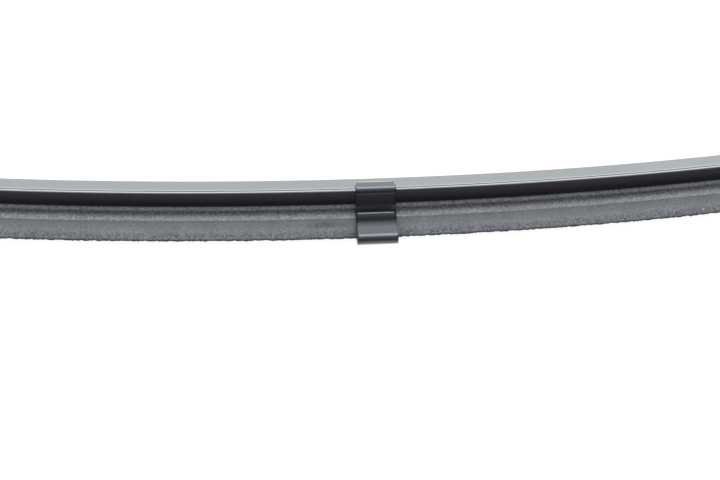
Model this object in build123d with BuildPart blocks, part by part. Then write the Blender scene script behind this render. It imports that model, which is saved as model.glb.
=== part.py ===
from build123d import *
from math import cos, degrees, radians, sin, tan
import os

# Door window wiper strip: a rolled steel rail holds a flocked rubber strip, and folded spring clips hook it
# to the door. Millimetres. +X runs along the strip, -Y is the clip side, +Z is up. The origin is the throat
# of the middle clip's hook.

# Length and bow, measured along the rail's front face
strip_length = 600.0
bow_radius = 635.0

# Rail: an inverted channel with a fine line rolled into its top
rail_depth = 9.5
rail_height = 4.55
rail_sheet = 0.45
rail_bend = 0.55
rail_line_setback = 1.4
rail_line_width = 0.5
rail_line_depth = 0.2

# Rubber strip: setbacks and reaches are from the rail's front face, drops are from the rail's lower edge
root_rounding = 0.5
bead_setback = 0.45
bead_drop = 0.9
groove_setback = 1.3
groove_drop = 2.45
groove_rounding = 0.4
crest_reach = 1.2
crest_drop = 4.15
step_depth = 0.06
step_height = 0.1
lip_reach = 3.3
lip_drop = 9.7
lip_thickness = 1.5
lip_hollow = 0.15
heel_setback = 1.6
heel_drop = 5.4
heel_rounding = 1.5
wipe_reach = 1.5
wipe_drop = 2.6

# Clip: one folded strip of spring steel
clip_count = 5
clip_end_margin = 20.0
clip_width = 12.2
clip_sheet = 0.65
clip_fold = 1.0
flange_depth = 4.9
flange_corner = 1.2
joggle_start = 0.45
joggle_drop = 2.25
hook_gap = 1.6
hook_below_lip = 1.1
tongue_top_drop = 1.3
tongue_upright = 3.3
tongue_slope = 36.5
tongue_knee = 2.6
tongue_corner = 0.5
nose_reach = 7.7
nose_fold = 0.95
nose_foot = 2.0

# Fits
seat_clearance = 0.05
lip_clearance = 0.15

# The section is drawn with x backward from the rail's front face and y upward from the rail's top
rail_edge = -rail_height
strip_top = -rail_sheet - seat_clearance
strip_neck = rail_edge - seat_clearance
root_front = rail_sheet + seat_clearance
root_back = rail_depth - rail_sheet - seat_clearance
crest_level = rail_edge - crest_drop
lip_level = rail_edge - lip_drop
heel_level = rail_edge - heel_drop

# Corners of the clip's mid-sheet line, from the flange's end to the tongue's end
half_sheet = clip_sheet / 2
seat = seat_clearance + half_sheet
clear_of_lip = lip_clearance + half_sheet
throat_x = -crest_reach - clear_of_lip
throat_level = crest_level + half_sheet
hook_bottom = lip_level - hook_below_lip + half_sheet
tongue_x = throat_x - clip_sheet - hook_gap
tongue_top = rail_edge - tongue_top_drop
knee_level = tongue_top - tongue_upright
nose_x = -nose_reach + half_sheet
nose_level = knee_level - (tongue_x - nose_x) * tan(radians(tongue_slope))
leg_lean = (-lip_reach - clear_of_lip - throat_x) / (lip_level - throat_level)
foot_x = throat_x + leg_lean * (hook_bottom - throat_level)
clip_corners = [
    (flange_depth, seat),
    (-seat, seat),
    (-seat, rail_edge - joggle_start),
    (bead_setback - clear_of_lip, rail_edge - joggle_drop),
    (throat_x, throat_level),
    (foot_x, hook_bottom),
    (nose_x, hook_bottom),
    (nose_x, nose_level),
    (tongue_x, knee_level),
    (tongue_x, tongue_top),
]
clip_folds = [
    rail_bend + seat,
    clip_fold,
    clip_fold,
    clip_fold,
    clip_fold,
    nose_foot,
    nose_fold,
    tongue_knee,
]

# The section's zero point, set so that the throat of the middle clip's hook is the origin
datum_y = -throat_x + half_sheet + hook_gap / 2
datum_z = -throat_level
bow_axis = Axis((0, datum_y + bow_radius, 0), (0, 0, 1))
half_turn = degrees(strip_length / bow_radius / 2)


def section_plane(turn):
    """Plane across the strip at an angle round the bow, facing +X, with its x axis backward."""
    angle = radians(turn)
    return Plane(
        origin=(bow_radius * sin(angle), datum_y + bow_radius * (1 - cos(angle)), datum_z),
        x_dir=(-sin(angle), cos(angle), 0),
        z_dir=(cos(angle), sin(angle), 0),
    )


os.makedirs("parts", exist_ok=True)
first_end = section_plane(-half_turn)

# Rolled channel, open below, with the fine line pressed along its top: a ramp in front, a sharp wall behind
half_rail = rail_sheet / 2
with BuildPart() as rail:
    with BuildSketch(first_end):
        with BuildLine():
            FilletPolyline(
                (half_rail, rail_edge),
                (half_rail, -half_rail),
                (rail_depth - half_rail, -half_rail),
                (rail_depth - half_rail, rail_edge),
                radius=rail_bend - half_rail,
            )
        trace(line_width=rail_sheet)
        with BuildLine():
            Polyline(
                (rail_line_setback - rail_line_width, 0),
                (rail_line_setback, -rail_line_depth),
                (rail_line_setback, 0),
                close=True,
            )
        make_face(mode=Mode.SUBTRACT)
    revolve(axis=bow_axis, revolution_arc=2 * half_turn)
rail.part.label = "rail"
export_step(rail.part, "parts/rail.step")

# Flocked rubber: the root fills the channel, with the bead, shoulder and lip in front and the wiping bulge
# behind
with BuildPart() as wiper_strip:
    with BuildSketch(first_end) as strip_section:
        with BuildLine():
            groove = (groove_setback, rail_edge - groove_drop)
            crest = (-crest_reach, crest_level)
            step = (-crest_reach + step_depth, crest_level - step_height)
            lip_front = (-lip_reach, lip_level)
            lip_middle = ((step[0] + lip_front[0]) / 2 + lip_hollow, (step[1] + lip_front[1]) / 2)
            lip_back = (-lip_reach + lip_thickness, lip_level)
            heel = (heel_setback, heel_level)
            Polyline(
                (root_back, strip_neck),
                (root_back, strip_top),
                (root_front, strip_top),
                (root_front, strip_neck),
            )
            ThreePointArc((root_front, strip_neck), (bead_setback, rail_edge - bead_drop), groove)
            Polyline(groove, crest, step)
            ThreePointArc(step, lip_middle, lip_front)
            Polyline(lip_front, lip_back, heel, (root_back, heel_level))
            ThreePointArc(
                (root_back, heel_level),
                (rail_depth + wipe_reach, rail_edge - wipe_drop),
                (root_back, strip_neck),
            )
        make_face()
        fillet(strip_section.vertices().group_by(Axis.Y)[-1], root_rounding)
        fillet(strip_section.vertices().sort_by_distance(groove)[0], groove_rounding)
        fillet(strip_section.vertices().sort_by_distance(heel)[0], heel_rounding)
    revolve(axis=bow_axis, revolution_arc=2 * half_turn)
wiper_strip.part.label = "wiper_strip"
export_step(wiper_strip.part, "parts/wiper_strip.step")

# Folded clips at an even pitch, each flat across its own width
clip_span = strip_length - 2 * clip_end_margin
clip_pitch = clip_span / (clip_count - 1)
for number in range(clip_count):
    clip_turn = degrees((number * clip_pitch - clip_span / 2) / bow_radius)
    clip_plane = section_plane(clip_turn)
    with BuildPart() as clip:
        with BuildSketch(clip_plane):
            with BuildLine():
                FilletPolyline(*clip_corners, radius=clip_folds)
            trace(line_width=clip_sheet)
        extrude(amount=clip_width / 2, both=True)
        flange_end = clip.faces().sort_by_distance(clip_plane.from_local_coords((flange_depth, seat, 0)))[0]
        tongue_end = clip.faces().sort_by_distance(clip_plane.from_local_coords((tongue_x, tongue_top, 0)))[0]
        fillet(flange_end.edges().sort_by(SortBy.LENGTH)[:2], flange_corner)
        fillet(tongue_end.edges().sort_by(SortBy.LENGTH)[:2], tongue_corner)
    clip.part.label = f"clip_{number + 1}"
    export_step(clip.part, f"parts/clip_{number + 1}.step")
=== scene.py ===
import math

import bmesh
import bpy
from mathutils import Matrix, Quaternion, Vector, noise


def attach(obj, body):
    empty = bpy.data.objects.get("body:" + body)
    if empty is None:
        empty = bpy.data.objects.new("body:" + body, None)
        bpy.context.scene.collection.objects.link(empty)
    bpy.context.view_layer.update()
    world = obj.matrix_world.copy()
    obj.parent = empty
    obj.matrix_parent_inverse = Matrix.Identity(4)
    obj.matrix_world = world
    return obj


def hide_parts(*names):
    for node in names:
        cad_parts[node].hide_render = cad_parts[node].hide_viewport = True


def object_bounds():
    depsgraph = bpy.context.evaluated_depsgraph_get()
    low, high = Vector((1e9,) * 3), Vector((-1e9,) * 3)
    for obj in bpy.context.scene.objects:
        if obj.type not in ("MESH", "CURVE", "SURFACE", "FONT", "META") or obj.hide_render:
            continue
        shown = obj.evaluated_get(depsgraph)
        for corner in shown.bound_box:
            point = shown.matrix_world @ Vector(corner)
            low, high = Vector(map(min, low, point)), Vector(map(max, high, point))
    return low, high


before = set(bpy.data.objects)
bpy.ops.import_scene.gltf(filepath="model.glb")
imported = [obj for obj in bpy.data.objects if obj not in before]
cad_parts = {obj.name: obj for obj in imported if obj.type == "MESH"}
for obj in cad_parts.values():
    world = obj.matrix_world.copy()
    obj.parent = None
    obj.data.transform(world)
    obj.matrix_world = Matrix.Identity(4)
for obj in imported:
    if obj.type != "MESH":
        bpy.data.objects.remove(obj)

cad_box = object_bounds()

# Door window wiper strip. Sizes are in millimetres: backward from the rail's front face, upward from the
# rail's top, and along the strip from its middle. Places nearer than NEAR count as one.
MM = 0.001
NEAR = 0.01

STRIP_LENGTH = 600.0
BOW_RADIUS = 635.0
HALF_TURN = STRIP_LENGTH / BOW_RADIUS / 2

RAIL_DEPTH = 9.5
RAIL_HEIGHT = 4.55
RAIL_SHEET = 0.45
RAIL_BEND = 0.55
RAIL_LINE_SETBACK = 1.4
RAIL_LINE_WIDTH = 0.5
RAIL_LINE_DEPTH = 0.2
RAIL_LINE_TURNS = range(0, 91, 15)
RAIL_LIP_ROUNDING = 0.12
RAIL_STEPS = 160
BEND_SEGMENTS = 6
# How far up the front the painted light reaches.
FRONT_LIGHT_DEPTH = 3.1
TOP_SHADE_DROP = 0.1
# Width of the flat behind the rolled line, across which its painted highlight fades.
HIGHLIGHT_STRIP = 0.8

BEAD_SETBACK = 0.45
BEAD_DROP = 0.9
GROOVE_SETBACK = 1.3
GROOVE_DROP = 2.45
CREST_REACH = 1.2
CREST_DROP = 4.15
STEP_DEPTH = 0.06
STEP_HEIGHT = 0.1
LIP_REACH = 3.3
LIP_DROP = 9.7
LIP_THICKNESS = 1.5
LIP_HOLLOW = 0.15
HEEL_SETBACK = 1.6
HEEL_DROP = 5.4
WIPE_REACH = 1.5
WIPE_DROP = 2.6

CLIP_COUNT = 5
CLIP_END_MARGIN = 20.0
CLIP_WIDTH = 12.2
CLIP_SHEET = 0.65
CLIP_FOLD = 1.0
FLANGE_DEPTH = 4.9
FLANGE_CORNER = 0.8
JOGGLE_START = 0.45
JOGGLE_DROP = 2.25
HOOK_GAP = 1.6
HOOK_BELOW_LIP = 1.1
TONGUE_TOP_DROP = 1.3
TONGUE_UPRIGHT = 3.3
TONGUE_SLOPE = math.radians(36.5)
TONGUE_KNEE = 2.6
TONGUE_CORNER = 0.5
TONGUE_LEAN = 0.43
TONGUE_TAPER = 0.48
FLANGE_LEAN = 0.35
NOSE_REACH = 7.7
NOSE_FOLD = 0.95
NOSE_FOOT = 2.0
SHARP_FOLD = 0.8
SHARP_FOLD_SEGMENTS = 10
SLIGHT_FOLD_SEGMENTS = 5
CORNER_SEGMENTS = 6
CLIP_RIM_ROUNDING = 0.075
RIM_SEGMENTS = 3
RIM_ANGLE = math.radians(50)

# Painted highlights, painted shade and wear on the clip: where they change, and how strong they are there
CUT_SNAP = 0.005
# Width of the painted dark rims along the clip's sides, and how much of the highlights is left there.
SHADED_SIDE = 0.45
SHADED_SIDE_SHARE = 0.1
END_BAND = 0.4
END_FADE = 1.6
HIGHLIGHT_BORDER = 0.6
BORDER_HIGHLIGHT = 1.0
CORNER_HIGHLIGHT = 0.5
CORNER_REACH = 0.8 * FLANGE_CORNER
FLANGE_SHADE = 0.2
CREASE_WIDTH = 0.22
CREASE_DROP = 0.56
NOSE_BAND = 0.05
NOSE_HIGHLIGHT = [(0, 0.27), (13, 0.6), (27, 1.0), (41, 0.68), (50, 0.16), (53, 0.07)]
TOP_FOLD_HIGHLIGHT = [(0.16, 0.0), (0.05, 0.07), (0.01, 0.02), (0.0, 0.0)]

SEAT_CLEARANCE = 0.05
LIP_CLEARANCE = 0.15

# Levels and corners that the sizes give
HALF_SHEET = CLIP_SHEET / 2
RAIL_EDGE = -RAIL_HEIGHT
STRIP_TOP = -RAIL_SHEET - SEAT_CLEARANCE
STRIP_NECK = RAIL_EDGE - SEAT_CLEARANCE
ROOT_FRONT = RAIL_SHEET + SEAT_CLEARANCE
ROOT_BACK = RAIL_DEPTH - RAIL_SHEET - SEAT_CLEARANCE
CREST_LEVEL = RAIL_EDGE - CREST_DROP
LIP_LEVEL = RAIL_EDGE - LIP_DROP
HEEL_LEVEL = RAIL_EDGE - HEEL_DROP
CLEAR_OF_LIP = LIP_CLEARANCE + HALF_SHEET
THROAT_BACK = -CREST_REACH - CLEAR_OF_LIP
THROAT_LEVEL = CREST_LEVEL + HALF_SHEET

# The section's zero point in the frame, whose origin is the throat of the middle clip's hook
DATUM_Y = -THROAT_BACK + HALF_SHEET + HOOK_GAP / 2
DATUM_Z = -THROAT_LEVEL
BOW_CENTRE = Vector((0, DATUM_Y + BOW_RADIUS, 0)) * MM

# Flock: the mesh's cells, how far the nap and the torn edge stand out in waves, and one painted soft shadow
# on the upper lip
FLOCK_CELL = 0.45
BACK_CELL = 0.9
CELLS_PER_STEP = 8
BACK_SIDE = GROOVE_SETBACK + 1.0
NAP_HEIGHT = 0.07
NAP_WAVES = ((0.6, 1.1), (0.8, 2.3))
TORN_DEPTH = 0.28
TORN_REACH = 3
TORN_WAVES = ((0.5, 0.4, 3.1), (1.0, 1.4, 7.7))
FRAY_DROP = 0.08
LIP_SHADOW_AT = (-15.5, CREST_LEVEL - 1.7)
LIP_SHADOW_SIZE = (7.5, 1.2)
LIP_SHADOW_DARK = 0.24


def place(turn, back, up):
    """Point of the section at an angle round the bow, in metres in the frame."""
    radius = BOW_RADIUS - back
    return Vector((
        radius * math.sin(turn),
        DATUM_Y + BOW_RADIUS - radius * math.cos(turn),
        DATUM_Z + up,
    )) * MM


def section_of(point):
    """How far along, backward and up a point of the frame lies on the strip, in millimetres."""
    spoke = (point - BOW_CENTRE) / MM
    along = math.atan2(spoke.x, -spoke.y) * BOW_RADIUS
    return along, BOW_RADIUS - math.hypot(spoke.x, spoke.y), spoke.z - DATUM_Z


def ramp(value, stops):
    """Level at a value, from stops of a value and its level, and the nearest end's level past them."""
    for (here, low), (there, high) in zip(stops, stops[1:]):
        if value < there:
            share = max(0.0, (value - here) / (there - here))
            return low + share * (high - low)
    return stops[-1][1]


def run(start, end, cell):
    """Points from start up to, but not at, end on a straight line, a cell apart or less."""
    a, b = Vector(start), Vector(end)
    steps = max(1, math.ceil((b - a).length / cell))
    return [a.lerp(b, i / steps) for i in range(steps)]


def arc(start, through, end, cell):
    """Points from start up to, but not at, end on the circle through three section points."""
    a, b, c = Vector(start), Vector(through), Vector(end)
    ab, ac = b - a, c - a
    cross = 2 * (ab.x * ac.y - ab.y * ac.x)
    centre = a + Vector((
        ac.y * ab.length_squared - ab.y * ac.length_squared,
        ab.x * ac.length_squared - ac.x * ab.length_squared,
    )) / cross
    spoke = a - centre
    first = math.atan2(spoke.y, spoke.x)
    sweep = math.atan2((c - centre).y, (c - centre).x) - first
    side = 1 if cross > 0 else -1
    sweep = side * ((side * sweep) % math.tau)
    steps = max(2, math.ceil(abs(sweep) * spoke.length / cell))
    angles = [first + sweep * i / steps for i in range(steps)]
    return [centre + spoke.length * Vector((math.cos(t), math.sin(t))) for t in angles]


def sweep_section(outline, steps, cuts=0):
    """Closed solid of an outline swept along the bow, each step cut into shorter cells, with capped ends."""
    bm = bmesh.new()
    ring = [bm.verts.new(place(-HALF_TURN, back, up)) for back, up in outline]
    edges = [bm.edges.new((a, b)) for a, b in zip(ring, ring[1:] + ring[:1])]
    bmesh.ops.spin(
        bm, geom=ring + edges, cent=BOW_CENTRE, axis=(0, 0, 1), angle=2 * HALF_TURN, steps=steps,
    )
    if cuts:
        half_step = HALF_TURN / steps * BOW_RADIUS
        lengthwise = [e for e in bm.edges
                      if abs(section_of(e.verts[0].co)[0] - section_of(e.verts[1].co)[0]) > half_step]
        bmesh.ops.subdivide_edges(bm, edges=lengthwise, cuts=cuts, use_grid_fill=True)
    bmesh.ops.edgeloop_fill(bm, edges=[e for e in bm.edges if e.is_boundary])
    bmesh.ops.recalc_face_normals(bm, faces=bm.faces)
    return bm


def add_piece(name, bm, material, node, sharp=()):
    """Object for a finished mesh, smooth but for its sharp edges, which stands for a CAD node."""
    mesh = bpy.data.meshes.new(name)
    for face in bm.faces:
        face.smooth = True
    for edge in sharp:
        edge.smooth = False
    bm.to_mesh(mesh)
    bm.free()
    mesh.materials.append(material)
    piece = bpy.data.objects.new(name, mesh)
    bpy.context.collection.objects.link(piece)
    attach(piece, "root")
    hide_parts(node)
    return piece


def flatten_shading(piece):
    """Keeps flat faces flat between rounded edges."""
    flat = piece.modifiers.new("flat_faces", "WEIGHTED_NORMAL")
    flat.weight = 100
    flat.keep_sharp = True


# Shared effects


def effect_group(name, inputs, outputs):
    """Empty shader node group with named float and vector inputs and float outputs."""
    group = bpy.data.node_groups.new(name, "ShaderNodeTree")
    for title, kind, value in inputs:
        socket = group.interface.new_socket(title, in_out="INPUT", socket_type=kind)
        if value is not None:
            socket.default_value = value
    for title in outputs:
        group.interface.new_socket(title, in_out="OUTPUT", socket_type="NodeSocketFloat")
    return group, group.nodes.new("NodeGroupInput"), group.nodes.new("NodeGroupOutput")


def make_grain_group():
    """Fine grain: soft noise with finer detail on it, around a half."""
    group, given, result = effect_group(
        "fine_grain",
        [("Vector", "NodeSocketVector", None), ("Scale", "NodeSocketFloat", 2000.0)],
        ["Grain"],
    )
    grain = group.nodes.new("ShaderNodeTexNoise")
    grain.inputs["Detail"].default_value = 3.0
    grain.inputs["Roughness"].default_value = 0.65
    group.links.new(given.outputs["Vector"], grain.inputs["Vector"])
    group.links.new(given.outputs["Scale"], grain.inputs["Scale"])
    group.links.new(grain.outputs["Fac"], result.inputs["Grain"])
    return group


def make_dust_group():
    """Dust: a few small specks, each in its own cell, and none in most cells."""
    group, given, result = effect_group(
        "dust_specks",
        [
            ("Vector", "NodeSocketVector", None),
            ("Scale", "NodeSocketFloat", 400.0),
            ("Share", "NodeSocketFloat", 0.1),
            ("Size", "NodeSocketFloat", 0.1),
        ],
        ["Mask"],
    )
    cells = group.nodes.new("ShaderNodeTexVoronoi")
    group.links.new(given.outputs["Vector"], cells.inputs["Vector"])
    group.links.new(given.outputs["Scale"], cells.inputs["Scale"])
    near = group.nodes.new("ShaderNodeMath")
    near.operation = "LESS_THAN"
    group.links.new(cells.outputs["Distance"], near.inputs[0])
    group.links.new(given.outputs["Size"], near.inputs[1])
    picked = group.nodes.new("ShaderNodeMath")
    picked.operation = "LESS_THAN"
    group.links.new(cells.outputs["Color"], picked.inputs[0])
    group.links.new(given.outputs["Share"], picked.inputs[1])
    both = group.nodes.new("ShaderNodeMath")
    both.operation = "MULTIPLY"
    group.links.new(near.outputs[0], both.inputs[0])
    group.links.new(picked.outputs[0], both.inputs[1])
    group.links.new(both.outputs[0], result.inputs["Mask"])
    return group


def make_tuft_group():
    """Tufts: small cells with ragged borders, each with a shade of its own."""
    group, given, result = effect_group(
        "flock_tufts",
        [("Vector", "NodeSocketVector", None), ("Scale", "NodeSocketFloat", 2000.0)],
        ["Shade"],
    )
    finer = group.nodes.new("ShaderNodeMath")
    finer.operation = "MULTIPLY"
    finer.inputs[1].default_value = 3.0
    group.links.new(given.outputs["Scale"], finer.inputs[0])
    ragged = group.nodes.new("ShaderNodeTexNoise")
    group.links.new(given.outputs["Vector"], ragged.inputs["Vector"])
    group.links.new(finer.outputs[0], ragged.inputs["Scale"])
    cell = group.nodes.new("ShaderNodeMath")
    cell.operation = "DIVIDE"
    cell.inputs[0].default_value = 1.6
    group.links.new(given.outputs["Scale"], cell.inputs[1])
    shift = group.nodes.new("ShaderNodeVectorMath")
    shift.operation = "SCALE"
    group.links.new(ragged.outputs["Color"], shift.inputs[0])
    group.links.new(cell.outputs[0], shift.inputs["Scale"])
    moved = group.nodes.new("ShaderNodeVectorMath")
    group.links.new(given.outputs["Vector"], moved.inputs[0])
    group.links.new(shift.outputs[0], moved.inputs[1])
    cells = group.nodes.new("ShaderNodeTexVoronoi")
    group.links.new(moved.outputs[0], cells.inputs["Vector"])
    group.links.new(given.outputs["Scale"], cells.inputs["Scale"])
    split = group.nodes.new("ShaderNodeSeparateColor")
    group.links.new(cells.outputs["Color"], split.inputs[0])
    group.links.new(split.outputs[0], result.inputs["Shade"])
    return group


GRAIN = make_grain_group()
TUFTS = make_tuft_group()
DUST = make_dust_group()


class Finish:
    """A material under construction: its shader, its Object coordinates and short ways to add nodes."""

    def __init__(self, name):
        self.material = bpy.data.materials.new(name)
        self.material.use_nodes = True
        self.nodes = self.material.node_tree.nodes
        self.link = self.material.node_tree.links.new
        self.shader = self.nodes["Principled BSDF"]
        self.coords = self.nodes.new("ShaderNodeTexCoord").outputs["Object"]

    def effect(self, group, output, vector=None, **values):
        """One output of a shared effect, with the values that it is given."""
        node = self.nodes.new("ShaderNodeGroup")
        node.node_tree = group
        self.link(vector or self.coords, node.inputs["Vector"])
        for title, value in values.items():
            node.inputs[title].default_value = value
        return node.outputs[output]

    def spread(self, value, low, high, between=(0.0, 1.0)):
        """Maps a value that runs over between to run from low to high."""
        node = self.nodes.new("ShaderNodeMapRange")
        self.link(value, node.inputs["Value"])
        node.inputs["From Min"].default_value, node.inputs["From Max"].default_value = between
        node.inputs["To Min"].default_value, node.inputs["To Max"].default_value = low, high
        return node.outputs["Result"]

    def times(self, a, b):
        """Product of an output and a number or another output."""
        node = self.nodes.new("ShaderNodeMath")
        node.operation = "MULTIPLY"
        self.link(a, node.inputs[0])
        if isinstance(b, float):
            node.inputs[1].default_value = b
        else:
            self.link(b, node.inputs[1])
        return node.outputs[0]

    def plus(self, a, b):
        """Sum of two outputs."""
        node = self.nodes.new("ShaderNodeMath")
        node.operation = "ADD"
        self.link(a, node.inputs[0])
        self.link(b, node.inputs[1])
        return node.outputs[0]

    def fade(self, value, amount):
        """Pulls a value towards a half where the amount is low."""
        node = self.nodes.new("ShaderNodeMix")
        self.link(amount, node.inputs[0])
        node.inputs[2].default_value = 0.5
        self.link(value, node.inputs[3])
        return node.outputs[0]

    def blend(self, factor, low, high):
        """Colour that goes from low to high with a mask. Each end is a colour or another node's output."""
        node = self.nodes.new("ShaderNodeMix")
        node.data_type = "RGBA"
        self.link(factor, node.inputs["Factor"])
        for socket, colour in ((node.inputs[6], low), (node.inputs[7], high)):
            if isinstance(colour, tuple):
                socket.default_value = (*colour, 1.0)
            else:
                self.link(colour, socket)
        return node.outputs[2]

    def bump(self, height, distance, strength):
        """Raises the surface a little where a height is large."""
        node = self.nodes.new("ShaderNodeBump")
        node.inputs["Distance"].default_value = distance
        node.inputs["Strength"].default_value = strength
        self.link(height, node.inputs["Height"])
        self.link(node.outputs["Normal"], self.shader.inputs["Normal"])

    def height(self):
        """Height in the frame, in metres."""
        node = self.nodes.new("ShaderNodeSeparateXYZ")
        self.link(self.coords, node.inputs[0])
        return node.outputs["Z"]

    def lengthwise(self, long, across):
        """Coordinates for streaks: so many to a metre along the strip and to a millimetre across it."""
        split = self.nodes.new("ShaderNodeSeparateXYZ")
        self.link(self.coords, split.inputs[0])
        joined = self.nodes.new("ShaderNodeCombineXYZ")
        self.link(self.times(split.outputs["X"], long), joined.inputs["X"])
        self.link(self.times(self.attribute("across"), across), joined.inputs["Y"])
        return joined.outputs[0]

    def attribute(self, name):
        """Value that the mesh carries under a name."""
        node = self.nodes.new("ShaderNodeAttribute")
        node.attribute_name = name
        return node.outputs["Fac"]


DUST_GREY = (0.5, 0.5, 0.5)
RAIL_BLACK = (0.0036, 0.0023, 0.0058)
# Painted light: the paler top of the front and the paler top face stand for the light falling on the black
# paint.
RAIL_FRONT_LIGHT = (0.042, 0.037, 0.048)
RAIL_TOP_DARK = (0.0265, 0.031, 0.031)
RAIL_TOP_PALE = (0.0315, 0.037, 0.037)
# Colour of the painted highlights on the rail's front bend and rolled line.
RAIL_HIGHLIGHT = (0.099, 0.107, 0.106)
COATING_DARK = (0.0072, 0.0052, 0.0105)
COATING_PALE = (0.0115, 0.0088, 0.0155)
# Darkened coating for the painted shade on the clip.
COATING_SHADED = (0.0030, 0.0024, 0.0045)
# Light grey for the painted highlights and floor reflection on the clip, and for bare steel at its cut end.
BARE_STEEL_AND_HIGHLIGHT = (0.285, 0.308, 0.303)
FLOCK_DARK = (0.075, 0.078, 0.082)
FLOCK_PALE = (0.280, 0.290, 0.300)
LINT_PALE = (0.62, 0.63, 0.66)
LIP_RIM = (0.055, 0.045, 0.046)
CUT_RUBBER = (0.014, 0.013, 0.014)


def make_rail_paint():
    """Satin black paint with faint orange peel and streaks, a few specks of dust, and painted light: paler up
    its front towards the bend, paler still on the top face, with painted highlights on the front bend and
    behind the rolled line.
    """
    finish = Finish("rail_paint")
    peel = finish.effect(GRAIN, "Grain", Scale=900.0)
    dust = finish.effect(DUST, "Mask", Scale=460.0, Share=0.05, Size=0.12)
    bend = DATUM_Z - RAIL_BEND
    # Painted light: the front grows paler towards its top bend, and the top face is paler again, where the
    # light falls on them.
    front_light = finish.spread(finish.height(), 0.0, 1.0, ((bend - FRONT_LIGHT_DEPTH) * MM, bend * MM))
    on_top = finish.spread(finish.height(), 0.0, 1.0, (bend * MM, (DATUM_Z - TOP_SHADE_DROP) * MM))
    front = finish.blend(front_light, RAIL_BLACK, RAIL_FRONT_LIGHT)
    streaks = finish.effect(GRAIN, "Grain", finish.lengthwise(25.0, 2.2), Scale=1.0)
    top = finish.blend(finish.spread(streaks, 0.0, 1.0, (0.3, 0.7)), RAIL_TOP_DARK, RAIL_TOP_PALE)
    paint = finish.blend(on_top, front, top)
    paint = finish.blend(finish.attribute("painted_highlight"), paint, RAIL_HIGHLIGHT)
    paint = finish.blend(finish.times(dust, 0.3), paint, DUST_GREY)
    finish.link(paint, finish.shader.inputs["Base Color"])
    drawn = finish.spread(streaks, -0.025, 0.025, (0.3, 0.7))
    finish.link(finish.plus(finish.spread(peel, 0.20, 0.28), drawn), finish.shader.inputs["Roughness"])
    finish.shader.inputs["Specular IOR Level"].default_value = 0.7
    finish.bump(peel, 0.000004, 0.3)
    return finish.material


def make_clip_coating():
    """Black coating of the spring steel: painted shade, darker and less glossy, in the crook, on the flange
    and along its top sides; painted highlights on its folds and border and a painted reflection of the floor
    on its foot; bare steel at the tongue's cut end.
    """
    finish = Finish("clip_coating")
    grain = finish.effect(GRAIN, "Grain", Scale=2600.0)
    dust = finish.effect(DUST, "Mask", Scale=520.0, Share=0.03, Size=0.12)
    painted_shade = finish.attribute("painted_shade")
    # Painted shade: a darker, less glossy coating where the mesh marks it, in the crook, on the flange and
    # along the flange's sides.
    paint = finish.blend(painted_shade, finish.blend(grain, COATING_DARK, COATING_PALE), COATING_SHADED)
    paint = finish.blend(finish.attribute("wear_and_highlight"), paint, BARE_STEEL_AND_HIGHLIGHT)
    paint = finish.blend(finish.times(dust, 0.25), paint, DUST_GREY)
    finish.link(paint, finish.shader.inputs["Base Color"])
    finish.link(finish.spread(grain, 0.12, 0.15), finish.shader.inputs["Roughness"])
    finish.link(finish.spread(painted_shade, 0.43, 0.03), finish.shader.inputs["Specular IOR Level"])
    finish.shader.inputs["Specular Tint"].default_value = (0.90, 0.95, 1.0, 1.0)
    finish.bump(grain, 0.000006, 0.4)
    return finish.material


def make_flock():
    """Short grey flock: grainy where the nap stands up, smoother on the upper lip, dark where it is cut, with
    painted shade and light in bands across the section and one painted soft shadow.
    """
    finish = Finish("grey_flock")
    # Painted shade and light from the mesh, in bands across the section, darken and lighten the flock.
    nap, painted_shading = finish.attribute("nap"), finish.attribute("painted_shading")
    grains = finish.effect(TUFTS, "Shade", Scale=2700.0)
    fibres = finish.effect(GRAIN, "Grain", Scale=5200.0)
    patches = finish.spread(finish.effect(GRAIN, "Grain", Scale=110.0), -0.05, 0.05, (0.35, 0.65))
    speckle = finish.times(finish.spread(fibres, -0.3, 0.3, (0.3, 0.7)), nap)
    share = finish.plus(finish.plus(finish.plus(finish.fade(grains, nap), painted_shading), patches), speckle)
    flock = finish.blend(share, FLOCK_DARK, FLOCK_PALE)
    lint = finish.times(finish.effect(DUST, "Mask", Scale=900.0, Share=0.05, Size=0.3), nap)
    flock = finish.blend(finish.times(lint, 0.6), flock, LINT_PALE)
    flock = finish.blend(finish.attribute("rim"), flock, LIP_RIM)
    flock = finish.blend(finish.attribute("cut"), flock, CUT_RUBBER)
    finish.link(flock, finish.shader.inputs["Base Color"])
    finish.shader.inputs["Roughness"].default_value = 0.95
    finish.shader.inputs["Specular IOR Level"].default_value = 0.2
    finish.shader.inputs["Sheen Weight"].default_value = 0.1
    finish.bump(finish.times(fibres, finish.spread(nap, 0.1, 1.0)), 0.00012, 0.8)
    return finish.material


# The object's pieces


def edges_along(bm, corner):
    """Edges that run along the strip at a corner of the section."""
    at_corner = set()
    for vert in bm.verts:
        _, back, up = section_of(vert.co)
        if abs(back - corner[0]) < NEAR and abs(up - corner[1]) < NEAR:
            at_corner.add(vert)
    return [e for e in bm.edges if at_corner.issuperset(e.verts)]


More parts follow.
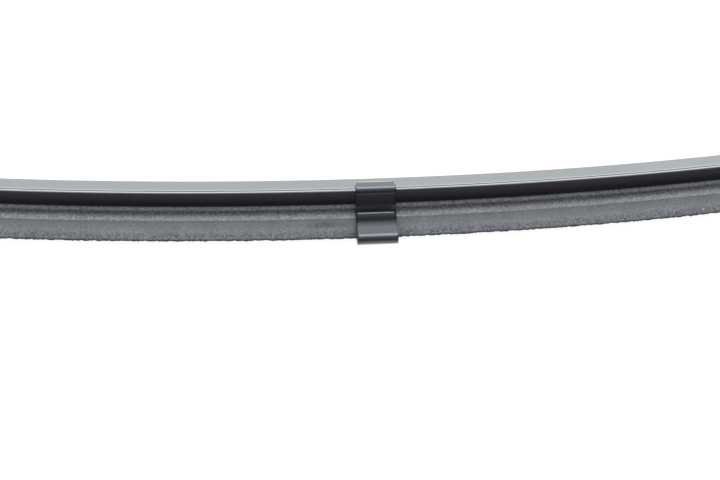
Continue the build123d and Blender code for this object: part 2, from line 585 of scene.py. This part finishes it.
def build_rail(material):
    """Rolled channel: square corners swept along the bow, then each long edge rounded to its bend."""
    inner_back = RAIL_DEPTH - RAIL_SHEET
    line_front, line_back = RAIL_LINE_SETBACK - RAIL_LINE_WIDTH, RAIL_LINE_SETBACK + RAIL_LINE_DEPTH
    rolled_line = [
        (line_back - RAIL_LINE_DEPTH * math.cos(math.radians(turn)),
         RAIL_LINE_DEPTH * (math.sin(math.radians(turn)) - 1))
        for turn in RAIL_LINE_TURNS
    ]
    bends = {
        (0.0, 0.0): RAIL_BEND,
        (RAIL_DEPTH, 0.0): RAIL_BEND,
        (RAIL_SHEET, -RAIL_SHEET): RAIL_BEND - RAIL_SHEET,
        (inner_back, -RAIL_SHEET): RAIL_BEND - RAIL_SHEET,
        (0.0, RAIL_EDGE): RAIL_LIP_ROUNDING,
        (RAIL_DEPTH, RAIL_EDGE): RAIL_LIP_ROUNDING,
    }
    outline = [
        (0.0, RAIL_EDGE), (0.0, 0.0), (line_front, 0.0),
        *rolled_line, (line_back + HIGHLIGHT_STRIP, 0.0),
        (RAIL_DEPTH, 0.0), (RAIL_DEPTH, RAIL_EDGE), (inner_back, RAIL_EDGE),
        (inner_back, -RAIL_SHEET), (RAIL_SHEET, -RAIL_SHEET), (RAIL_SHEET, RAIL_EDGE),
    ]
    bm = sweep_section(outline, RAIL_STEPS)
    for corner, radius in bends.items():
        bmesh.ops.bevel(
            bm, geom=edges_along(bm, corner), offset=radius * MM, offset_type="OFFSET",
            segments=BEND_SEGMENTS if radius == RAIL_BEND else RIM_SEGMENTS, profile=0.5, affect="EDGES",
            material=-1,
        )
    across, painted_highlight = bm.verts.layers.float.new("across"), bm.verts.layers.float.new("painted_highlight")
    # Painted highlight on the crown of the front bend and along the back edge of the rolled line, fading
    # across the flat behind it.
    front_bend = [(-0.6 * RAIL_BEND, 0.0), (-0.3 * RAIL_BEND, 1.0), (-NEAR, 1.0), (0.0, 0.2)]
    for vert in bm.verts:
        _, back, up = section_of(vert.co)
        vert[across] = back
        if back < RAIL_BEND:
            vert[painted_highlight] = ramp(up, front_bend)
        elif abs(back - line_back) < NEAR:
            vert[painted_highlight] = 1.0
    line_foot = edges_along(bm, (RAIL_LINE_SETBACK, -RAIL_LINE_DEPTH))
    flatten_shading(add_piece("rail_channel", bm, material, "rail", sharp=line_foot))


def strip_outline():
    """Outline of the flocked rubber, fine where it shows from the front and coarser behind and inside."""
    groove = (GROOVE_SETBACK, RAIL_EDGE - GROOVE_DROP)
    crest = (-CREST_REACH, CREST_LEVEL)
    step = (-CREST_REACH + STEP_DEPTH, CREST_LEVEL - STEP_HEIGHT)
    lip_front = (-LIP_REACH, LIP_LEVEL)
    lip_middle = ((step[0] + lip_front[0]) / 2 + LIP_HOLLOW, (step[1] + lip_front[1]) / 2)
    lip_back = (-LIP_REACH + LIP_THICKNESS, LIP_LEVEL)
    heel = (HEEL_SETBACK, HEEL_LEVEL)
    bulge_low = (ROOT_BACK, HEEL_LEVEL)
    neck_front = (ROOT_FRONT, STRIP_NECK)
    neck_back = (ROOT_BACK, STRIP_NECK)
    return [
        *run((ROOT_FRONT, STRIP_TOP), neck_front, RAIL_HEIGHT),
        *arc(neck_front, (BEAD_SETBACK, RAIL_EDGE - BEAD_DROP), groove, FLOCK_CELL),
        *run(groove, crest, FLOCK_CELL)[1:],
        *run(crest, step, FLOCK_CELL),
        *arc(step, lip_middle, lip_front, FLOCK_CELL),
        *run(lip_front, lip_back, FLOCK_CELL),
        *run(lip_back, heel, BACK_CELL),
        *run(heel, bulge_low, BACK_CELL),
        *arc(bulge_low, (RAIL_DEPTH + WIPE_REACH, RAIL_EDGE - WIPE_DROP), neck_back, BACK_CELL),
        *run(neck_back, (ROOT_BACK, STRIP_TOP), RAIL_HEIGHT),
        *run((ROOT_BACK, STRIP_TOP), (ROOT_FRONT, STRIP_TOP), RAIL_DEPTH),
    ]


def flock_at(back, up):
    """Nap, painted shading and rim at a place on the section: how far it stands up, how light and how
    dark-rimmed. The lightness is painted shade and light: dark on the hidden root, on the back and in the
    groove, lighter on the bead's top and the shoulder, and in lighter and darker bands down the lip.
    """
    groove_level = RAIL_EDGE - GROOVE_DROP
    step_level = CREST_LEVEL - STEP_HEIGHT
    if up > STRIP_NECK - NEAR:
        return 0.0, -0.3, 0.0
    if back > BACK_SIDE:
        return 0.6, -0.32, 0.0
    if up > groove_level:
        below_neck = (STRIP_NECK - up) / (STRIP_NECK - groove_level)
        nap = ramp(below_neck, [(0.5, 1.0), (1.0, 0.5)])
        return nap, ramp(below_neck, [(0.55, 0.2), (1.0, -0.5)]), 0.0
    if up > step_level + NEAR:
        down_shoulder = (groove_level - up) / (groove_level - step_level)
        nap = ramp(down_shoulder, [(0.0, 0.4), (0.5, 0.65)])
        return nap, ramp(down_shoulder, [(0.0, -0.5), (0.15, -0.42), (0.55, 0.0), (1.0, 0.06)]), 0.0
    down_lip = (step_level - up) / (step_level - LIP_LEVEL)
    nap = ramp(down_lip, [(0.0, 0.22), (0.3, 0.28), (0.5, 0.42), (0.85, 0.74)])
    painted_shading = ramp(down_lip, [
        (0.0, 0.22), (0.07, -0.09), (0.3, -0.05), (0.5, 0.04), (0.6, 0.0), (0.7, -0.14), (0.77, -0.2),
        (0.86, -0.12),
    ])
    return nap, painted_shading, ramp(down_lip, [(0.89, 0.0), (0.96, 0.9), (1.0, 1.0)])


def lip_shadow_at(along, up):
    """How dark the one painted soft shadow on the upper lip is."""
    reach = math.hypot((along - LIP_SHADOW_AT[0]) / LIP_SHADOW_SIZE[0], (up - LIP_SHADOW_AT[1]) / LIP_SHADOW_SIZE[1])
    return LIP_SHADOW_DARK * max(0.0, 1 - reach * reach)


def torn_edge(along, up):
    """How far the lip's lower edge is frayed away or pulled down at a place along the strip."""
    share = 1 - min(1.0, (up - LIP_LEVEL) / TORN_DEPTH / TORN_REACH)
    wave = sum(height * noise.noise(Vector((along * pitch, row, 0.0))) for height, pitch, row in TORN_WAVES)
    return max(0.0, share) * (TORN_DEPTH * wave - FRAY_DROP)


def build_strip(material):
    """Flocked rubber: the section swept along the bow in small cells, with nap and torn edge pushed out."""
    steps = int(STRIP_LENGTH / FLOCK_CELL / CELLS_PER_STEP)
    bm = sweep_section(strip_outline(), steps, cuts=CELLS_PER_STEP - 1)
    bm.normal_update()
    layers = [bm.verts.layers.float.new(name) for name in ("nap", "painted_shading", "rim")]
    for vert in bm.verts:
        along, back, up = section_of(vert.co)
        nap, painted_shading, rim = flock_at(back, up)
        # One painted soft shadow on the upper lip's front.
        if back < 0:
            painted_shading -= lip_shadow_at(along, up)
        for layer, value in zip(layers, (nap, painted_shading, rim)):
            vert[layer] = value
        cell = Vector((along, back, up))
        height = sum(share * noise.noise(cell * pitch) for share, pitch in NAP_WAVES)
        vert.co += vert.normal * (NAP_HEIGHT * nap * height * MM)
        if up < LIP_LEVEL + TORN_REACH * TORN_DEPTH:
            vert.co.z += torn_edge(along, up) * MM
    cut = bm.faces.layers.float.new("cut")
    ends = [face for face in bm.faces if len(face.edges) > 4]
    for face in ends:
        face[cut] = 1.0
    corners = [edge for face in ends for edge in face.edges]
    flatten_shading(add_piece("flocked_strip", bm, material, "wiper_strip", sharp=corners))


def clip_line():
    """Corners of the clip's mid-sheet line, from the flange's end to the tongue's end, each with its fold."""
    seat = SEAT_CLEARANCE + HALF_SHEET
    hook_bottom = LIP_LEVEL - HOOK_BELOW_LIP + HALF_SHEET
    tongue_back = THROAT_BACK - CLIP_SHEET - HOOK_GAP
    tongue_top = RAIL_EDGE - TONGUE_TOP_DROP
    knee_level = tongue_top - TONGUE_UPRIGHT
    nose_back = -NOSE_REACH + HALF_SHEET
    nose_level = knee_level - (tongue_back - nose_back) * math.tan(TONGUE_SLOPE)
    leg_lean = (-LIP_REACH - CLEAR_OF_LIP - THROAT_BACK) / (LIP_LEVEL - THROAT_LEVEL)
    foot_back = THROAT_BACK + leg_lean * (hook_bottom - THROAT_LEVEL)
    return [
        (FLANGE_DEPTH, seat, 0.0),
        (-seat, seat, RAIL_BEND + seat),
        (-seat, RAIL_EDGE - JOGGLE_START, CLIP_FOLD),
        (BEAD_SETBACK - CLEAR_OF_LIP, RAIL_EDGE - JOGGLE_DROP, CLIP_FOLD),
        (THROAT_BACK, THROAT_LEVEL, CLIP_FOLD),
        (foot_back, hook_bottom, CLIP_FOLD),
        (nose_back, hook_bottom, NOSE_FOOT),
        (nose_back, nose_level, NOSE_FOLD),
        (tongue_back, knee_level, TONGUE_KNEE),
        (tongue_back, tongue_top, 0.0),
    ]


def round_corners(bm, verts, radius):
    """Rounds the free corners of a sheet."""
    bmesh.ops.bevel(
        bm, geom=verts, offset=radius, offset_type="OFFSET", segments=CORNER_SEGMENTS, profile=0.5,
        affect="VERTICES", material=-1,
    )


def crease_level(line):
    """Level of the fine crease under the clip's top fold, where a faint painted highlight runs."""
    return line[0][1] - line[1][2] - CREASE_DROP


def highlight_and_wear_at(spot, line):
    """How strong the painted highlight, painted floor reflection and wear are at a place on the clip's
    section.
    """
    tongue_end, knee, nose, foot, crook, joggle = (Vector(line[i][:2]) for i in (9, 8, 7, 6, 3, 2))
    top, top_fold = line[0][1], line[1][2]
    crease = crease_level(line)
    if spot.x > THROAT_BACK:
        # Faint painted highlights at the joggle and under the top fold, and a painted highlight on the top
        # fold's crown.
        return ramp(spot.y, [
            (crook.y, 0.04),
            (joggle.y - CREASE_WIDTH, 0.16), (joggle.y, 0.16), (joggle.y + CREASE_WIDTH, 0.03),
            (crease - CREASE_WIDTH, 0.08), (crease, 0.27), (crease + CREASE_WIDTH, 0.09),
            (crease + CREASE_DROP, 0.04), (top - top_fold / 2, 0.0),
            *((top - drop, wear) for drop, wear in TOP_FOLD_HIGHLIGHT),
        ])
    # Painted highlight round the nose fold, brightest where it faces the light.
    nose_turn = (nose - foot).angle(knee - nose)
    nose_centre = nose + NOSE_FOLD * Vector((1, -math.tan(nose_turn / 2)))
    from_centre = spot - nose_centre
    if from_centre.length < NOSE_FOLD + NOSE_BAND and from_centre.y > -NEAR:
        facing = math.degrees(math.atan2(from_centre.y, -from_centre.x))
        return ramp(facing, NOSE_HIGHLIGHT)
    # Painted reflection of the floor on the foot, faint painted highlights on the nose's foot and the knee,
    # and a painted glow fading down from the tongue's cut end, whose edge is bare steel.
    return ramp(spot.y, [
        (foot.y + 0.1 * NOSE_FOOT, 0.85), (foot.y + 0.4 * NOSE_FOOT, 0.75), (foot.y + 0.6 * NOSE_FOOT, 0.45),
        (foot.y + 0.75 * NOSE_FOOT, 0.25), (foot.y + NOSE_FOOT, 0.08),
        (nose.y - NOSE_FOLD, 0.1), (nose.y, 0.07),
        (knee.y - 0.3 * TONGUE_KNEE, 0.1), (knee.y, 0.21), (knee.y + 0.3 * TONGUE_KNEE, 0.08),
        (tongue_end.y - END_FADE, 0.09), (tongue_end.y - END_BAND, 0.25), (tongue_end.y, 0.40),
    ])


def cut_flat(bm, at, facing):
    """Cuts a sheet along a plane, so that its painted light and wear can change there."""
    geom = bm.verts[:] + bm.edges[:] + bm.faces[:]
    bmesh.ops.bisect_plane(bm, geom=geom, dist=CUT_SNAP, plane_co=at, plane_no=facing)


def lean_ends(bm, line):
    """Leans the tongue and the flange a little to opposite sides and narrows the tongue towards its end."""
    nose_level, tongue_back, tongue_top = line[7][1], line[9][0], line[9][1]
    for vert in bm.verts:
        if vert.co.y < tongue_back + HALF_SHEET and vert.co.z > nose_level:
            share = (vert.co.z - nose_level) / (tongue_top - nose_level)
            vert.co.x *= 1 - share * TONGUE_TAPER / CLIP_WIDTH
            vert.co.x -= share * TONGUE_LEAN
        elif vert.co.y > 0 and vert.co.z > line[0][1] - line[1][2]:
            vert.co.x += FLANGE_LEAN * vert.co.y / FLANGE_DEPTH


def mark_light_and_wear(bm, line):
    """Cuts the ribbon where its painted light changes, then marks the painted highlights and wear, and the
    painted shade.
    """
    tongue_end, top, top_fold = line[9][1], line[0][1], line[1][2]
    cuts = [tongue_end - END_BAND, tongue_end - END_FADE]
    for level in (crease_level(line), line[2][1]):
        cuts += [level - CREASE_WIDTH, level, level + CREASE_WIDTH]
    flange = max(bm.faces, key=lambda face: face.calc_center_median().y)
    bmesh.ops.inset_individual(bm, faces=[flange], thickness=HIGHLIGHT_BORDER, use_even_offset=True)
    for level in cuts:
        cut_flat(bm, (0, 0, level), (0, 0, 1))
    # Along each side the highlights are nearly left out, for painted dark rims.
    inner_side = CLIP_WIDTH / 2 - SHADED_SIDE
    for side in (-inner_side, inner_side):
        cut_flat(bm, (side, 0, 0), (1, 0, 0))
    wear_and_highlight, painted_shade = bm.verts.layers.float.new("wear_and_highlight"), bm.verts.layers.float.new("painted_shade")
    for vert in bm.verts:
        on_border = vert.is_boundary and vert.co.y > FLANGE_DEPTH - FLANGE_CORNER - NEAR
        on_corner = abs(vert.co.x) > CLIP_WIDTH / 2 - CORNER_REACH
        on_side = vert.is_boundary and abs(vert.co.x) > inner_side + NEAR
        # The flange's rounded border gets a painted highlight, weaker at its corners.
        if on_border:
            vert[wear_and_highlight] = CORNER_HIGHLIGHT if on_corner else BORDER_HIGHLIGHT
        else:
            vert[wear_and_highlight] = highlight_and_wear_at(vert.co.yz, line) * (SHADED_SIDE_SHARE if on_side else 1.0)
        # Painted shade in the crook behind the tongue and along the flange's top sides, and a little on the
        # whole flange.
        in_crook = vert.co.y > THROAT_BACK - CLIP_FOLD and vert.co.z < line[3][1] + CLIP_FOLD / 2
        on_top = vert.co.z > top - top_fold
        if in_crook or (on_top and on_side and not on_border):
            vert[painted_shade] = 1.0
        elif on_top and vert.co.y > top_fold:
            vert[painted_shade] = FLANGE_SHADE


def build_clip(number, material):
    """Spring clip: a flat ribbon drawn across its width, folded at each corner, then given its sheet."""
    line = clip_line()
    bm = bmesh.new()
    left = [bm.verts.new((-CLIP_WIDTH / 2, back, up)) for back, up, _ in line]
    side = [bm.edges.new(pair) for pair in zip(left, left[1:])]
    made = bmesh.ops.extrude_edge_only(bm, edges=side)["geom"]
    right = [g for g in made if isinstance(g, bmesh.types.BMVert)]
    bmesh.ops.translate(bm, verts=right, vec=(CLIP_WIDTH, 0, 0))
    bm.edges.ensure_lookup_table()
    for index in range(1, len(line) - 1):
        before, here, after = (Vector(line[i][:2]) for i in (index - 1, index, index + 1))
        turn = (here - before).angle(after - here)
        fold = next(e for e in left[index].link_edges if e.calc_length() > CLIP_WIDTH - NEAR)
        bmesh.ops.bevel(
            bm, geom=[fold], offset=line[index][2] * math.tan(turn / 2), offset_type="OFFSET",
            segments=SHARP_FOLD_SEGMENTS if turn > SHARP_FOLD else SLIGHT_FOLD_SEGMENTS, profile=0.5,
            affect="EDGES", material=-1,
        )
    flange_end = [v for v in bm.verts if abs(v.co.y - FLANGE_DEPTH) < SEAT_CLEARANCE]
    round_corners(bm, flange_end, FLANGE_CORNER)
    tongue_end = [v for v in bm.verts if (v.co.yz - Vector(line[-1][:2])).length < SEAT_CLEARANCE]
    round_corners(bm, tongue_end, TONGUE_CORNER)
    mark_light_and_wear(bm, line)
    lean_ends(bm, line)
    bmesh.ops.recalc_face_normals(bm, faces=bm.faces)
    span = STRIP_LENGTH - 2 * CLIP_END_MARGIN
    turn = (number * span / (CLIP_COUNT - 1) - span / 2) / BOW_RADIUS
    bmesh.ops.translate(bm, verts=bm.verts, vec=(0, DATUM_Y, DATUM_Z))
    bmesh.ops.scale(bm, verts=bm.verts, vec=(MM, MM, MM))
    bmesh.ops.rotate(bm, verts=bm.verts, cent=BOW_CENTRE, matrix=Matrix.Rotation(turn, 3, "Z"))
    piece = add_piece(f"clip_sheet_{number + 1}", bm, material, f"clip_{number + 1}")
    sheet = piece.modifiers.new("sheet", "SOLIDIFY")
    sheet.thickness = CLIP_SHEET * MM
    sheet.offset = 0.0
    sheet.use_even_offset = True
    rim = piece.modifiers.new("rim", "BEVEL")
    rim.width = CLIP_RIM_ROUNDING * MM
    rim.segments = RIM_SEGMENTS
    rim.limit_method = "ANGLE"
    rim.angle_limit = RIM_ANGLE
    flatten_shading(piece)


# The stage

CAMERA_LENS = 85.0
CAMERA_SENSOR = 36.0
CAMERA_ELEVATION = math.radians(22.0)
CAMERA_YAW = math.radians(7.8)
CAMERA_ROLL = math.radians(1.0)
PHOTO_WIDTH = 720
PHOTO_HEIGHT = 480
PIXEL = 0.30
RAIL_EDGE_AT = (375.8, 189.55)

FLOOR_HALF = 3.0
FLOOR_GREY = (0.05, 0.05, 0.05, 1.0)
FLOOR_GLOW = 0.95
WALL_RADIUS = 2.9
WALL_HEIGHT = 2.0
WALL_SEGMENTS = 96

# Light by the angle round the strip's length, in degrees: 0 in front, 90 above, 180 behind
STUDIO_LEVELS = [
    (-180, 1.1), (-158, 1.1), (-90, 1.2), (-60, 1.0), (-45, 0.55), (-32, 0.10), (-15, 0.10), (0, 0.35),
    (25, 0.85), (45, 1.5), (65, 2.4), (80, 3.4), (95, 5.0), (110, 7.8), (130, 9.0), (142, 5.4), (150, 2.7),
    (158, 1.7), (170, 1.4), (180, 1.1),
]
STUDIO_TINT = (0.975, 1.0, 1.04)
SIDE_SHADE = 0.8
SIDE_POWER = 4.0


def add_camera():
    """Camera at the photograph's angle, with the rail's front edge over the middle clip at its pixel."""
    data = bpy.data.cameras.new("camera")
    data.lens = CAMERA_LENS
    data.sensor_width = CAMERA_SENSOR
    data.clip_start = 0.01
    data.shift_x = (PHOTO_WIDTH / 2 - RAIL_EDGE_AT[0]) / PHOTO_WIDTH
    data.shift_y = (RAIL_EDGE_AT[1] - PHOTO_HEIGHT / 2) / PHOTO_WIDTH
    camera = bpy.data.objects.new("camera", data)
    bpy.context.collection.objects.link(camera)
    look = Vector((
        math.sin(CAMERA_YAW) * math.cos(CAMERA_ELEVATION),
        math.cos(CAMERA_YAW) * math.cos(CAMERA_ELEVATION),
        -math.sin(CAMERA_ELEVATION),
    ))
    distance = PHOTO_WIDTH * PIXEL * MM * CAMERA_LENS / CAMERA_SENSOR
    camera.location = place(0.0, 0.0, 0.0) - look * distance
    level = look.to_track_quat("-Z", "Y")
    camera.rotation_euler = (level @ Quaternion((0, 0, 1), CAMERA_ROLL)).to_euler()
    bpy.context.scene.camera = camera


def add_floor():
    """Pale floor that the clips stand on, bright enough to lose the shadow as the photograph does."""
    bm = bmesh.new()
    bmesh.ops.create_grid(bm, x_segments=1, y_segments=1, size=FLOOR_HALF)
    bmesh.ops.translate(bm, verts=bm.verts, vec=(0, 0, cad_box[0].z))
    mesh = bpy.data.meshes.new("floor")
    bm.to_mesh(mesh)
    bm.free()
    floor = bpy.data.objects.new("floor", mesh)
    bpy.context.collection.objects.link(floor)
    finish = Finish("pale_floor")
    finish.shader.inputs["Base Color"].default_value = FLOOR_GREY
    finish.shader.inputs["Roughness"].default_value = 1.0
    finish.shader.inputs["Specular IOR Level"].default_value = 0.0
    finish.shader.inputs["Emission Color"].default_value = (1.0, 1.0, 1.0, 1.0)
    finish.shader.inputs["Emission Strength"].default_value = FLOOR_GLOW
    mesh.materials.append(finish.material)
    floor.visible_glossy = False
    floor.visible_diffuse = False
    return finish.material


def add_backdrop(material):
    """Pale wall round the floor, which the camera sees and the light passes."""
    bm = bmesh.new()
    bmesh.ops.create_cone(
        bm, cap_ends=False, segments=WALL_SEGMENTS, radius1=WALL_RADIUS, radius2=WALL_RADIUS,
        depth=2 * WALL_HEIGHT,
    )
    mesh = bpy.data.meshes.new("backdrop")
    bm.to_mesh(mesh)
    bm.free()
    wall = bpy.data.objects.new("backdrop", mesh)
    bpy.context.collection.objects.link(wall)
    mesh.materials.append(material)
    wall.visible_glossy = False
    wall.visible_diffuse = False
    wall.visible_shadow = False


def add_world():
    """Soft studio surround in bands along the strip, dimmer to its sides."""
    brightest = max(level for _, level in STUDIO_LEVELS)
    world = bpy.data.worlds.new("studio")
    world.use_nodes = True
    bpy.context.scene.world = world
    nodes, link = world.node_tree.nodes, world.node_tree.links.new
    split = nodes.new("ShaderNodeSeparateXYZ")
    link(nodes.new("ShaderNodeTexCoord").outputs["Generated"], split.inputs[0])
    front = nodes.new("ShaderNodeMath")
    front.operation = "MULTIPLY"
    front.inputs[1].default_value = -1.0
    link(split.outputs["Y"], front.inputs[0])
    angle = nodes.new("ShaderNodeMath")
    angle.operation = "ARCTAN2"
    link(split.outputs["Z"], angle.inputs[0])
    link(front.outputs[0], angle.inputs[1])
    round_strip = nodes.new("ShaderNodeMapRange")
    round_strip.inputs["From Min"].default_value = -math.pi
    round_strip.inputs["From Max"].default_value = math.pi
    link(angle.outputs[0], round_strip.inputs["Value"])
    bands = nodes.new("ShaderNodeValToRGB")
    link(round_strip.outputs["Result"], bands.inputs["Fac"])
    stops = [((degrees + 180) / 360, level / brightest) for degrees, level in STUDIO_LEVELS]
    elements = bands.color_ramp.elements
    elements[0].position, elements[1].position = stops[0][0], stops[-1][0]
    for position, _ in stops[1:-1]:
        elements.new(position)
    for element, (_, level) in zip(elements, stops):
        element.color = (*(level * share for share in STUDIO_TINT), 1.0)
    link(bands.outputs["Color"], nodes["Background"].inputs["Color"])
    sideways = nodes.new("ShaderNodeMath")
    sideways.operation = "POWER"
    sideways.inputs[1].default_value = SIDE_POWER
    link(split.outputs["X"], sideways.inputs[0])
    strength = nodes.new("ShaderNodeMath")
    strength.operation = "MULTIPLY_ADD"
    strength.inputs[1].default_value = -SIDE_SHADE * brightest
    strength.inputs[2].default_value = brightest
    link(sideways.outputs[0], strength.inputs[0])
    link(strength.outputs[0], nodes["Background"].inputs["Strength"])


def build_object():
    """The rail, the strip and its clips."""
    build_rail(make_rail_paint())
    build_strip(make_flock())
    clip_coating = make_clip_coating()
    for number in range(CLIP_COUNT):
        build_clip(number, clip_coating)


def build_stage():
    """Camera, floor, backdrop and light."""
    add_camera()
    add_backdrop(add_floor())
    add_world()
    bpy.context.scene.view_settings.view_transform = "Standard"


build_object()
build_stage()
